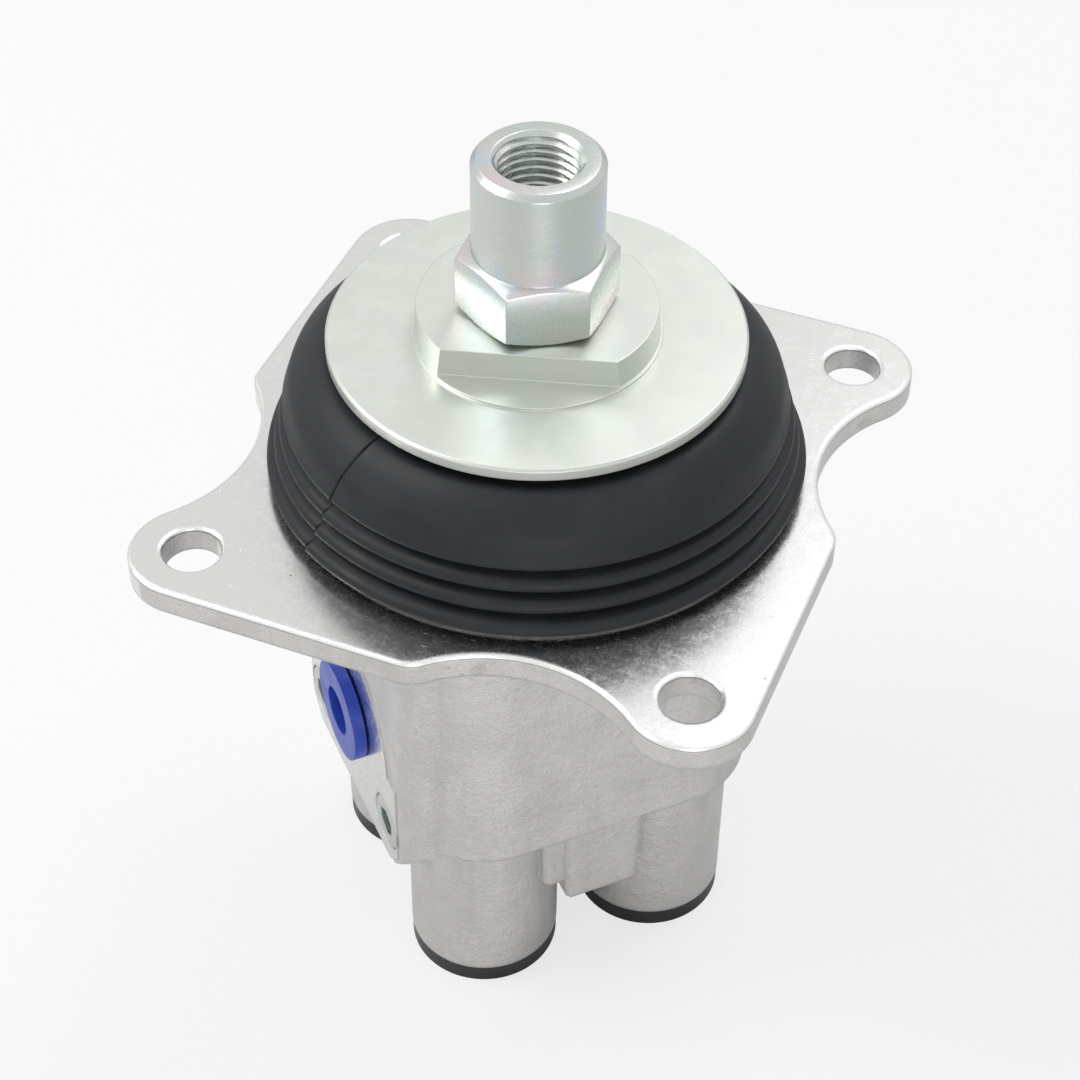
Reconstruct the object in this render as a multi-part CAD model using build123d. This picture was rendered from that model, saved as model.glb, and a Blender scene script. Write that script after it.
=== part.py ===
from build123d import *
from math import cos, radians, sqrt
import os

# Hydraulic pilot joystick valve: a lever on a universal joint presses four pilot stages in one die casting.
#
# Frame: the origin is the centre of the four mounting holes, in the flange's machined top face.
# +Z runs up the lever, and the four pilot stages stand under the X and Y axes.
# Lengths are in millimetres. A value called DEPTH is measured down from the flange's top face, and a
# value called FACE is measured outwards from the valve's axis.

# Mounting flange
HOLE_PITCH = 85.0        # square pattern, hole to hole
HOLE_D = 9.6
HOLE_BREAK = 0.4
EAR_R = 10.4
FLANGE_T = 4.6
FLANGE_BREAK = 0.5
WAIST_R = 25.8           # concave arc between two ears
WAIST_FACE = 44.6        # nearest approach of that arc to the axis
SHOULDER_R = 6.0         # convex corner where the straight side meets the arc

# Casting under the flange
STATION_R = 23.66        # radius on which the four pilot stages stand
BODY_DEPTH = 95.2
COLUMN_R = 13.5
BLOCK_R = 16.3           # casting radius round each stage
BLOCK_DEPTH = 61.0
WEB_W = 15.2
WEB_DEPTH = 78.5
WEB_DRAFT = 2.0
FIN_W = 5.8              # thin cast step beside the web
FIN_SIDE = 8.5
FIN_DEPTH = 74.8
FIN_INSET = 1.4
CAST_BREAK = 1.2         # trims the corners of web and fin
BOSS_W = 55.0            # port bosses on the two port faces
BOSS_FACE = 34.9
BOSS_BACK = 27.0
INLET_BOSS_DEPTH = 69.5
RETURN_BOSS_DEPTH = 58.0
BOSS_CORNER = 5.5
BOSS_SLOPE = 8.0         # trims the lower corners of each boss
PAD_SLOPE = 4.0
PAD_RISE = 0.3           # machined pad on each port boss
PAD_R = 18.0
PAD_W = 44.0

# Ports and galleries
PORT_D = 11.8            # thread root of every port
PORT_LENGTH = 14.0
INLET_DEPTH = 48.0
RETURN_DEPTH = 38.0      # return port, and the closed drillings level with it
PRESSURE_DEPTH = 61.0    # closed drillings level with the spools' grooves
FEED_D = 6.5             # strainer pocket behind the inlet port, and the hole in the web's foot
GALLERY_D = 6.0
PLUG_D = 10.4            # socket plugs that close the long drillings
PLUG_LENGTH = 7.0
PLUG_HEX = 5.0
PLUG_SOCKET = 3.6
STOPPER_LENGTH = 5.0     # pressed stoppers that close the cross drillings
STOPPER_SINK = 0.6       # how far each one lies under the cast face

# Pilot stage: guide, piston, springs and spool
GUIDE_D = 17.0
GUIDE_LENGTH = 13.0
GUIDE_FLANGE_D = 21.0
GUIDE_FLANGE_T = 3.0
CHAMBER_D = 16.0
CHAMBER_DEPTH = 52.0
PISTON_D = 7.0
FOOT_D = 12.0
FOOT_T = 2.5
PISTON_TRAVEL = 8.45     # each way, at the end of the lever's tilt
SEAT_D = 15.0
SEAT_T = 3.0
SPIGOT_D = 5.8
SPIGOT_T = 2.0
SHIM_T = 1.0
STEM_D = 3.0
SPOOL_D = 7.0
SPOOL_END_DEPTH = 79.0
SPOOL_COLLAR_D = 10.0
SPOOL_COLLAR_T = 1.6
SPOOL_COLLAR_DEPTH = 42.4
SPOOL_TRAVEL = 2.6
SPOOL_GROOVE_D = 4.8
SPOOL_DRILL_D = 3.0
CENTRING_WIRE = 1.7
CENTRING_D = 15.2
CENTRING_TURNS = 5
METERING_WIRE = 1.1
METERING_D = 8.6
METERING_TURNS = 5
SEAL_D = 11.9
SEAL_T = 3.1
ORING_WIRE = 1.3

# Retainer plate and boot
PLATE_D = 80.0
PLATE_T = 4.2
PLATE_GROOVE_D = 75.0    # neck under the plate's rim that holds the boot's bead
PLATE_GROOVE_T = 2.4
PLATE_HOLE_D = 9.0
RELIEF_W = 0.8           # groove that parts the boot's seat from the console's face
RELIEF_T = 0.4
BOOT_WALL = 1.8
BOOT_BEAD_D = PLATE_D + 4.6
RING_D = PLATE_D + 4.8    # the upper fold; each one below is RING_STEP larger
RING_STEP = 2.0
RING_PITCH = 3.75
RING_COUNT = 3
RING_LIP_Z = 10.4        # lip of the upper fold, above the flange
BAND_D = PLATE_D + 2.8
BAND_Z = 14.4
BOOT_TOP_D = 66.6

# Lever: universal joint, disc and connecting nut
PIVOT_Z = 20.0           # the pistons' contact face and both tilt axes lie at this height
STUD_D = 11.8
STEM_THREAD_D = 13.8
STEM_LENGTH = 14.0
BASE_HEX = 20.0
BASE_T = 6.0
YOKE_GAP = 10.6
YOKE_T = 3.4
YOKE_W = 6.8
TRUNNION_D = 4.0
CROSS_BREAK = 2.0        # trims the edges of the cross's block
BAR_T = 2.8
DISC_D = 68.0
DISC_TOP = 27.0
DISC_RIM_T = 2.4
DISC_RIM_BREAK = 0.4
CONTACT_D = 59.0
NECK_D = 55.0
NECK_T = 2.4
POCKET_D = 27.0
POCKET_H = 8.4
HUB_D = 38.8
HUB_BASE_D = 40.6
HUB_STEP = 0.5
HUB_TOP = 32.5
HUB_FLATS = 27.2
HUB_FLAT_ANGLE = -73.8   # degrees, where the hub's flats came to rest on the thread
NUT_FLATS = 22.8
NUT_ANGLE = 0.0
NUT_HEX_TOP = 43.4
NUT_BREAK = 1.2          # height of the cone that trims the hexagon's corners
SLEEVE_D = 21.0
NUT_TOP = 60.2
SLEEVE_BREAK = 1.0
LEVER_THREAD_D = 12.4    # root of the lever's thread
LEVER_THREAD_LENGTH = 17.2
LEVER_COUNTERSINK = 1.0

# Shipping plugs
CAP_D = 26.8
CAP_T = 3.6
CAP_STUB = 8.5
CAP_BORE = 8.0
PORT_PLUG_D = 18.5
PORT_PLUG_T = 2.2
PORT_PLUG_BORE = 9.0
PORT_PLUG_STUB = 10.0

# Clearances
RUNNING = 0.03           # radial, on the sliding fits
SEATED = 0.05            # radial, between fixed pieces
AIR = 0.3                # beside soft pieces and behind the port plugs
TIP_GAP = 0.75           # between piston tips and contact face, lever upright

STATIONS = {1: 0.0, 2: 90.0, 3: 180.0, 4: 270.0}     # pilot stage number to its angle
INLET_ANGLE = 225.0
RETURN_ANGLE = 45.0
GALLERY_OFFSET = STATION_R * cos(radians(45))         # drillings beside each port cross two stages
BLOCK_FACE = GALLERY_OFFSET + BLOCK_R
CROSS_ANGLE = 135.0
RIB_ANGLE = -45.0
CROSS_DRILLINGS = [(0.0, PRESSURE_DEPTH), (-GALLERY_OFFSET, RETURN_DEPTH), (GALLERY_OFFSET, RETURN_DEPTH)]
STEM_ROOM = 3.0          # drilled below the joint's stem
ORING_Z = -8.0
FOOT_Z = -24.0           # underside of the piston's foot, on the spring seat
SEAT_Z = FOOT_Z - SEAT_T
STEM_TOP = -20.0
STEM_BORE_D = STEM_D + 0.6
STEM_STROKE = PISTON_TRAVEL - SPOOL_TRAVEL + AIR
YOKE_REACH = PIVOT_Z - PLATE_T - BASE_T
NUT_THREAD_FLOOR = NUT_TOP - LEVER_COUNTERSINK - LEVER_THREAD_LENGTH
WIRE_SIDES = 6
UPRIGHT = (Align.CENTER, Align.CENTER, Align.MIN)     # stands on its placing point
STRAINER_LENGTH = 8.0
RING_GROOVE = 2.4        # radial depth of the groove between folds
RING_LIP = 0.6


def ring(outer: float, inner: float, low: float, high: float) -> Part:
    """Make a plain ring, or a disc when inner is 0, between two heights (diameters in mm)."""
    body = Cylinder(outer / 2, high - low, align=UPRIGHT)
    if inner:
        body -= Cylinder(inner / 2, high - low, align=UPRIGHT)
    return Pos(0, 0, low) * body


def turned(points: list[tuple[float, float]]) -> Part:
    """Revolve a closed outline of (radius, height) corners about the Z axis."""
    return revolve(Plane.XZ * make_face(Polyline(*points, close=True)), Axis.Z)


def at_station(number: int) -> Location:
    """Place something modelled on the Z axis at one of the four pilot stages."""
    return Rot(0, 0, STATIONS[number]) * Pos(STATION_R, 0, 0)


def on_face(angle: float, face: float, side: float, depth: float) -> Location:
    """Face outwards: local +Z points away from the axis at the angle, local +Y points down."""
    return Rot(0, 0, angle) * Pos(face, side, -depth) * Rot(0, 90, 0)


def hole_centres() -> list[Vector]:
    """Give the four mounting holes' centres, anticlockwise from the +X +Y ear."""
    half = HOLE_PITCH / 2
    return [Vector(half, half), Vector(-half, half), Vector(-half, -half), Vector(half, -half)]


def arc_about(centre: Vector, start: Vector, end: Vector) -> Edge:
    """Make the short arc from start to end about a centre."""
    middle = centre + ((start - centre) + (end - centre)).normalized() * (start - centre).length
    return ThreePointArc(start, middle, end)


def flange_outline() -> Sketch:
    """Draw the pinwheel: each side runs straight from one ear and swings in before the next."""
    half, side = HOLE_PITCH / 2, HOLE_PITCH / 2 + EAR_R
    ear = Vector(half, -half)
    waist_y = -(WAIST_FACE + WAIST_R)
    waist = Vector(half - sqrt((EAR_R + WAIST_R) ** 2 - (waist_y + half) ** 2), waist_y)
    shoulder_y = -side + SHOULDER_R
    reach = sqrt((WAIST_R + SHOULDER_R) ** 2 - (shoulder_y - waist_y) ** 2)
    shoulder = Vector(waist.X - reach, shoulder_y)
    start, turn_in = Vector(-half, -side), Vector(shoulder.X, -side)
    dip = shoulder + (waist - shoulder).normalized() * SHOULDER_R
    rise = ear + (waist - ear).normalized() * EAR_R
    quarter = [
        Line(start, turn_in),
        arc_about(shoulder, turn_in, dip),
        arc_about(waist, dip, rise),
        arc_about(ear, rise, Vector(side, -half)),
    ]
    edges = [edge.rotate(Axis.Z, 90 * turn) for turn in range(4) for edge in quarter]
    return make_face(Wire(edges))


def flange() -> Part:
    """Make the mounting flange with a broken top edge and its four holes."""
    plate = extrude(flange_outline(), -FLANGE_T)
    plate = chamfer(plate.faces().sort_by(Axis.Z)[-1].edges(), FLANGE_BREAK)
    rim = HOLE_D / 2
    hole = turned([
        (0, -FLANGE_T), (rim, -FLANGE_T), (rim, -HOLE_BREAK), (rim + HOLE_BREAK, 0), (0, 0),
    ])
    for centre in hole_centres():
        plate -= Pos(centre.X, centre.Y, 0) * hole
    return plate


def port_boss(angle: float, port_depth: float, boss_depth: float, floor: float) -> Part:
    """Make a port boss with a machined pad round its port, squared off down to a floor depth."""
    thickness = BOSS_FACE - BOSS_BACK
    boss = Pos(BOSS_BACK, 0, -FLANGE_T / 2) * Box(
        thickness, BOSS_W, boss_depth - FLANGE_T / 2, align=(Align.MIN, Align.CENTER, Align.MAX))
    boss = chamfer(boss.edges().filter_by(Axis.X).group_by(Axis.Z)[0], BOSS_SLOPE)
    boss = Rot(0, 0, angle) * fillet(boss.edges().filter_by(Axis.Z).group_by(Axis.X)[-1], BOSS_CORNER)
    pad = Circle(PAD_R)
    if floor > port_depth:
        foot = Rectangle(floor - port_depth, PAD_W)
        foot = chamfer(foot.vertices().group_by(Axis.X)[-1], PAD_SLOPE)
        pad += Pos((floor - port_depth) / 2, 0) * foot
    return boss + on_face(angle, BOSS_FACE, 0, port_depth) * extrude(pad, PAD_RISE)


def cast_rib(width: float, depth: float, inset: float, side: float) -> Part:
    """Make a drafted rib that crosses the casting's underside between the stages."""
    root = BLOCK_DEPTH - FLANGE_T
    outline = Rectangle(2 * (BLOCK_FACE - inset), width)
    outline = Rot(0, 0, RIB_ANGLE) * Pos(0, -side, -root) * chamfer(outline.vertices(), CAST_BREAK)
    return extrude(outline, -(depth - root), taper=WEB_DRAFT)


def casting_outside() -> Part:
    """Join the flange, the block round the stages, four columns, two ribs and the port bosses."""
    root = -FLANGE_T / 2
    outline = Rot(0, 0, 45) * RectangleRounded(2 * BLOCK_FACE, 2 * BLOCK_FACE, BLOCK_R)
    body = flange() + extrude(Pos(0, 0, root) * outline, -(BLOCK_DEPTH + root))
    for number in STATIONS:
        body += at_station(number) * ring(2 * COLUMN_R, 0, -BODY_DEPTH, -BLOCK_DEPTH + FLANGE_T)
    body += cast_rib(WEB_W, WEB_DEPTH, 0, 0)
    body += cast_rib(FIN_W, FIN_DEPTH, FIN_INSET, FIN_SIDE)
    body += port_boss(INLET_ANGLE, INLET_DEPTH, INLET_BOSS_DEPTH, INLET_BOSS_DEPTH)
    body += port_boss(RETURN_ANGLE, RETURN_DEPTH, RETURN_BOSS_DEPTH, RETURN_DEPTH)
    return body


def stage_bore() -> Part:
    """Make the stepped bore of one stage: guide seat, spring chamber, spool bore and outlet port."""
    bore = ring(GUIDE_FLANGE_D + 2 * SEATED, 0, -GUIDE_FLANGE_T, 0)
    bore += ring(GUIDE_D + 2 * SEATED, 0, -GUIDE_LENGTH, 0)
    bore += ring(CHAMBER_D, 0, -CHAMBER_DEPTH, 0)
    bore += ring(SPOOL_D + 2 * RUNNING, 0, -BODY_DEPTH, 0)
    bore += ring(PORT_D, 0, -BODY_DEPTH, -BODY_DEPTH + PORT_LENGTH)
    return bore


def drilling(angle: float, face: float, side: float, depth: float, diameter: float, length: float) -> Part:
    """Make the tool of a drilling that enters a side face and runs inwards."""
    tool = Cylinder(diameter / 2, length, align=(Align.CENTER, Align.CENTER, Align.MAX))
    return on_face(angle, face, side, depth) * tool


def side_cuts() -> list[Part]:
    """List the tools that cut the ports and the pockets of the closed drillings."""
    pad = BOSS_FACE + PAD_RISE
    cuts = [
        drilling(INLET_ANGLE, pad, 0, INLET_DEPTH, PORT_D, PORT_LENGTH),
        drilling(INLET_ANGLE, pad, 0, INLET_DEPTH, FEED_D, PORT_LENGTH + STRAINER_LENGTH),
        drilling(RETURN_ANGLE, pad, 0, RETURN_DEPTH, PORT_D, PORT_LENGTH),
        ring(FEED_D, 0, -WEB_DEPTH, -WEB_DEPTH + STOPPER_SINK + STOPPER_LENGTH),
    ]
    for side in (-GALLERY_OFFSET, GALLERY_OFFSET):
        cuts.append(drilling(INLET_ANGLE, pad, side, PRESSURE_DEPTH, PLUG_D + 2 * SEATED, PLUG_LENGTH))
    for side, depth in CROSS_DRILLINGS:
        cuts.append(drilling(CROSS_ANGLE, BLOCK_FACE, side, depth, GALLERY_D, STOPPER_SINK + STOPPER_LENGTH))
    return cuts


def valve_body() -> Part:
    """Make the die casting with its stage bores, side ports, stem hole and the groove round the boot."""
    body = casting_outside()
    for number in STATIONS:
        body -= at_station(number) * stage_bore()
    for cut in side_cuts():
        body -= cut
    body -= ring(STEM_THREAD_D + 2 * SEATED, 0, -STEM_LENGTH - STEM_ROOM, 0)
    relief = BOOT_BEAD_D + 2 * AIR
    return body - ring(relief + 2 * RELIEF_W, relief, -RELIEF_T, 0)


def retainer_plate() -> Part:
    """Make the plate that holds the guides down, with a neck under its rim for the boot's bead."""
    plate = ring(PLATE_GROOVE_D, 0, 0, PLATE_GROOVE_T) + ring(PLATE_D, 0, PLATE_GROOVE_T, PLATE_T)
    plate -= ring(STEM_THREAD_D + 2 * SEATED, 0, 0, PLATE_T)
    for number in STATIONS:
        plate -= at_station(number) * ring(PLATE_HOLE_D, 0, 0, PLATE_T)
    return plate


def piston_guide() -> Part:
    """Make a piston guide: flange, seal pocket at the top and a groove for its O-ring."""
    guide = ring(GUIDE_FLANGE_D, 0, -GUIDE_FLANGE_T, 0) + ring(GUIDE_D, 0, -GUIDE_LENGTH, 0)
    guide -= ring(PISTON_D + 2 * RUNNING, 0, -GUIDE_LENGTH, 0)
    guide -= ring(SEAL_D + 2 * SEATED, 0, -SEAL_T - SEATED, 0)
    return guide - ring(GUIDE_D, GUIDE_D - 2 * ORING_WIRE, ORING_Z - ORING_WIRE, ORING_Z + ORING_WIRE)


def guide_oring() -> Part:
    """Make the O-ring in the guide's outer groove, as a ring of the springs' many-sided section."""
    section = Pos((GUIDE_D - ORING_WIRE) / 2, ORING_Z) * RegularPolygon(ORING_WIRE / 2, WIRE_SIDES)
    return revolve(Plane.XZ * section, Axis.Z)


def piston_seal() -> Part:
    """Make the lip seal round the piston, with its lip's hollow facing down."""
    inner, wall = PISTON_D + 2 * SEATED, 0.9
    seal = ring(SEAL_D, inner, -SEAL_T, 0)
    return seal - ring(SEAL_D - 2 * wall, inner + 2 * wall, -SEAL_T, -SEAL_T / 2)


def piston() -> Part:
    """Make a piston with a round tip, a foot for the spring seat and a bore for the spool's stem."""
    shoulder = PIVOT_Z - TIP_GAP - PISTON_D / 2
    body = ring(PISTON_D, 0, FOOT_Z, shoulder) + Pos(0, 0, shoulder) * Sphere(PISTON_D / 2)
    body += ring(FOOT_D, 0, FOOT_Z, FOOT_Z + FOOT_T)
    return body - ring(STEM_BORE_D, 0, FOOT_Z, STEM_TOP + STEM_STROKE)


def spring_seat() -> Part:
    """Make the seat under the piston's foot: a washer with a spigot that centres the inner spring."""
    seat = ring(SEAT_D, 0, SEAT_Z, FOOT_Z) + ring(SPIGOT_D, 0, SEAT_Z - SPIGOT_T, SEAT_Z)
    return seat - ring(STEM_BORE_D, 0, SEAT_Z - SPIGOT_T, FOOT_Z)


def coil_spring(diameter: float, wire: float, turns: int, low: float, high: float) -> Part:
    """Wind a helical spring of round wire between two faces."""
    length = high - low - wire - 2 * SEATED
    path = Helix(pitch=length / turns, height=length, radius=(diameter - wire) / 2)
    section = Plane(origin=path @ 0, z_dir=path % 0) * RegularPolygon(wire / 2, WIRE_SIDES)
    return Pos(0, 0, low + wire / 2 + SEATED) * sweep(section, path=path, is_frenet=True)


def shim() -> Part:
    """Make the shim that seats the outer spring on the chamber's floor."""
    return ring(SEAT_D, SPOOL_COLLAR_D, -CHAMBER_DEPTH, -CHAMBER_DEPTH + SHIM_T)


def spool() -> Part:
    """Make a spool: stem, spring collar, two lands with a metering groove, and an axial drilling."""
    collar = -SPOOL_COLLAR_DEPTH
    groove = (-PRESSURE_DEPTH - GALLERY_D / 2, -PRESSURE_DEPTH + GALLERY_D / 2)
    body = ring(STEM_D, 0, collar, STEM_TOP) + ring(SPOOL_COLLAR_D, 0, collar - SPOOL_COLLAR_T, collar)
    body += ring(SPOOL_D, 0, -SPOOL_END_DEPTH, collar - SPOOL_COLLAR_T)
    body -= ring(SPOOL_D, SPOOL_GROOVE_D, groove[0], groove[1])
    body -= ring(SPOOL_DRILL_D, 0, -SPOOL_END_DEPTH, groove[0] - SPOOL_DRILL_D)
    cross = Pos(0, 0, groove[0] - 2 * SPOOL_DRILL_D) * Rot(0, 90, 0) * Cylinder(SPOOL_DRILL_D / 3, SPOOL_D)
    return body - cross


def yoke_ear() -> Part:
    """Make one yoke ear across the X axis, drawn from the pivot down by the yoke's reach."""
    profile = Circle(YOKE_W / 2) + Pos(0, -YOKE_REACH / 2) * Rectangle(YOKE_W, YOKE_REACH)
    profile -= Circle(TRUNNION_D / 2 + RUNNING)
    return Plane.YZ.offset(YOKE_GAP / 2) * extrude(profile, YOKE_T)


def joint_base() -> Part:
    """Make the joint's lower half: threaded stem, hexagon on the plate, and two ears across X."""
    top = PLATE_T + BASE_T
    base = ring(STEM_THREAD_D, 0, -STEM_LENGTH, PLATE_T)
    base += Pos(0, 0, PLATE_T) * extrude(RegularPolygon(BASE_HEX / 2, 6, major_radius=False), BASE_T)
    ear = Pos(0, 0, PIVOT_Z) * yoke_ear()
    pair = ear + ear.mirror(Plane.YZ)
    return base + (pair - ring(2 * PLATE_D, 0, 0, top - SEATED))


def joint_cross() -> Part:
    """Make the joint's cross: a block with trimmed edges and four trunnions, at the pivot."""
    flat = YOKE_GAP - 2 * AIR
    block = Box(flat, flat, YOKE_W)
    cross = chamfer(block.edges().filter_by(Axis.Z), CROSS_BREAK)
    reach = YOKE_GAP + 2 * YOKE_T
    cross += Rot(0, 90, 0) * Cylinder(TRUNNION_D / 2, reach)
    cross += Rot(90, 0, 0) * Cylinder(TRUNNION_D / 2, reach)
    return Pos(0, 0, PIVOT_Z) * cross


def joint_stud() -> Part:
    """Make the joint's upper half: two ears across Y under a bar, and the stud for disc and nut."""
    roof = PIVOT_Z + POCKET_H
    bar_low = roof - BAR_T
    ear = Rot(0, 0, 90) * Rot(180, 0, 0) * yoke_ear()
    pair = ear + ear.mirror(Plane.XZ)
    pair = Pos(0, 0, PIVOT_Z) * pair & ring(PLATE_D, 0, 0, bar_low + SEATED)
    width, reach = YOKE_W, YOKE_GAP + 2 * YOKE_T
    bar = Pos(0, 0, bar_low) * Box(width, reach, BAR_T, align=UPRIGHT)
    return pair + bar + ring(STUD_D, 0, roof, NUT_THREAD_FLOOR - 1.0)


def disc() -> Part:
    """Make the press disc: rim, neck for the boot's lip, contact ring, pocket and two-flat hub."""
    rim_low = DISC_TOP - DISC_RIM_T
    bore, rim, step = STUD_D / 2 + SEATED, DISC_D / 2, DISC_TOP + HUB_STEP
    body = turned([
        (bore, PIVOT_Z + POCKET_H), (POCKET_D / 2, PIVOT_Z + POCKET_H), (POCKET_D / 2, PIVOT_Z),
        (CONTACT_D / 2, PIVOT_Z), (CONTACT_D / 2, rim_low - NECK_T), (NECK_D / 2, rim_low - NECK_T),
        (NECK_D / 2, rim_low), (rim - DISC_RIM_BREAK, rim_low), (rim, rim_low + DISC_RIM_BREAK),
        (rim, DISC_TOP - DISC_RIM_BREAK), (rim - DISC_RIM_BREAK, DISC_TOP), (HUB_BASE_D / 2, DISC_TOP),
        (HUB_BASE_D / 2, step), (HUB_BASE_D / 2 - HUB_STEP, step), (HUB_D / 2, HUB_TOP), (bore, HUB_TOP),
    ])
    waste = Pos(HUB_FLATS / 2, 0, step) * Box(
        HUB_D, 2 * HUB_D, HUB_TOP, align=(Align.MIN, Align.CENTER, Align.MIN))
    for angle in (HUB_FLAT_ANGLE, HUB_FLAT_ANGLE + 180):
        body -= Rot(0, 0, angle) * waste
    return body


def lever_nut() -> Part:
    """Make the connecting nut: a hexagon with trimmed corners and a sleeve threaded for the lever."""
    corner = NUT_FLATS / 2 / cos(radians(30))
    hexagon = Pos(0, 0, HUB_TOP) * Rot(0, 0, NUT_ANGLE) * extrude(
        RegularPolygon(NUT_FLATS / 2, 6, major_radius=False, rotation=30), NUT_HEX_TOP - HUB_TOP)
    sleeve, inner = SLEEVE_D / 2, STUD_D / 2 + SEATED
    trim = turned([
        (0, HUB_TOP), (corner - 2 * NUT_BREAK, HUB_TOP), (corner, HUB_TOP + NUT_BREAK),
        (corner, NUT_HEX_TOP - NUT_BREAK), (sleeve, NUT_HEX_TOP), (0, NUT_HEX_TOP),
    ])
    body = (hexagon & trim) + turned([
        (0, NUT_HEX_TOP), (sleeve, NUT_HEX_TOP), (sleeve, NUT_TOP - SLEEVE_BREAK),
        (sleeve - SLEEVE_BREAK, NUT_TOP), (0, NUT_TOP),
    ])
    thread = LEVER_THREAD_D / 2
    return body - turned([
        (0, HUB_TOP), (inner, HUB_TOP), (inner, NUT_THREAD_FLOOR), (thread, NUT_THREAD_FLOOR),
        (thread, NUT_TOP - LEVER_COUNTERSINK), (thread + LEVER_COUNTERSINK, NUT_TOP), (0, NUT_TOP),
    ])


def boot() -> Part:
    """Make the rubber boot: bead under the plate's rim, three folds, a smooth band and the top lip."""
    rim_low = DISC_TOP - DISC_RIM_T
    lip_low = rim_low - NECK_T + AIR
    bead_r = BOOT_BEAD_D / 2
    outside = [(bead_r, AIR), (bead_r, AIR + BOOT_WALL)]
    for fold in reversed(range(RING_COUNT)):
        lip_r = (RING_D + fold * RING_STEP) / 2
        lip_z = RING_LIP_Z - fold * RING_PITCH
        outside += [(lip_r - RING_GROOVE / 2, lip_z - RING_LIP), (lip_r, lip_z)]
        outside += [(lip_r - RING_LIP / 2, lip_z + RING_LIP)]
        outside += [(lip_r - RING_GROOVE, lip_z + RING_PITCH - RING_LIP)]
    outside += [(BAND_D / 2 - RING_LIP / 2, BAND_Z - RING_LIP), (BAND_D / 2, BAND_Z)]
    outside += [(BOOT_TOP_D / 2, rim_low - 3 * AIR), (BOOT_TOP_D / 2 - AIR, rim_low - AIR)]
    lip_in = NECK_D / 2 + AIR
    inside = [
        (lip_in, rim_low - AIR), (lip_in, lip_low), (BOOT_TOP_D / 2 - BOOT_WALL, lip_low),
        (BAND_D / 2 - 1.5 * BOOT_WALL, BAND_Z - RING_LIP), (PLATE_D / 2 + AIR, PLATE_T + AIR),
        (PLATE_D / 2 + AIR, PLATE_GROOVE_T - AIR), (PLATE_GROOVE_D / 2 + AIR, PLATE_GROOVE_T - AIR),
        (PLATE_GROOVE_D / 2 + AIR, AIR),
    ]
    return turned(outside + inside)


def shipping_cap() -> Part:
    """Make the plug that closes one outlet port, with its flange on the column's end."""
    end = -BODY_DEPTH
    cap = ring(CAP_D, 0, end - CAP_T, end) + ring(PORT_D - 2 * SEATED, 0, end, end + CAP_STUB)
    return cap - ring(CAP_BORE, 0, end, end + CAP_STUB)


def port_plug(angle: float, port_depth: float) -> Part:
    """Make the recessed plug that closes the inlet or the return port."""
    plug = ring(PORT_PLUG_D, 0, AIR, AIR + PORT_PLUG_T) + ring(PORT_D - 2 * SEATED, 0, -PORT_PLUG_STUB, AIR)
    plug -= ring(PORT_PLUG_BORE, 0, -PORT_PLUG_STUB + PORT_PLUG_T, AIR + PORT_PLUG_T)
    return on_face(angle, BOSS_FACE + PAD_RISE, 0, port_depth) * plug


def gallery_plug(side: float) -> Part:
    """Make the socket plug that closes a long drilling, flush with the machined pad."""
    plug = ring(PLUG_D, 0, -PLUG_LENGTH, 0)
    plug = chamfer(plug.edges().sort_by(Axis.Z)[-1], FLANGE_BREAK)
    plug -= extrude(RegularPolygon(PLUG_HEX / 2, 6, major_radius=False), -PLUG_SOCKET)
    return on_face(INLET_ANGLE, BOSS_FACE + PAD_RISE, side, PRESSURE_DEPTH) * plug


def stoppers() -> Compound:
    """Make the stoppers pressed into the cross drillings and into the feed's foot."""
    stopper = ring(GALLERY_D - 2 * SEATED, 0, -STOPPER_SINK - STOPPER_LENGTH, -STOPPER_SINK)
    placed = [on_face(CROSS_ANGLE, BLOCK_FACE, side, depth) * stopper for side, depth in CROSS_DRILLINGS]
    low = -WEB_DEPTH + STOPPER_SINK
    placed.append(ring(FEED_D - 2 * SEATED, 0, low, low + STOPPER_LENGTH))
    return Compound(children=placed)


def inlet_strainer() -> Part:
    """Make the thimble strainer in the inlet's feed drilling."""
    outer, inner = FEED_D - 2 * SEATED, FEED_D - 2.0
    thimble = ring(outer, 0, -PORT_LENGTH - STRAINER_LENGTH, -PORT_LENGTH)
    thimble -= ring(inner, 0, -PORT_LENGTH - STRAINER_LENGTH + 1.0, -PORT_LENGTH)
    return on_face(INLET_ANGLE, BOSS_FACE + PAD_RISE, 0, INLET_DEPTH) * thimble


def per_station(name: str, solid: Part) -> dict[str, Part]:
    """Copy a solid to the four stages, one node each."""
    return {f"{name}_{number}": at_station(number) * solid for number in STATIONS}


def grouped(solid: Part) -> Compound:
    """Copy a solid to the four stages as one node of separate solids."""
    return Compound(children=[at_station(number) * solid for number in STATIONS])


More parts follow.
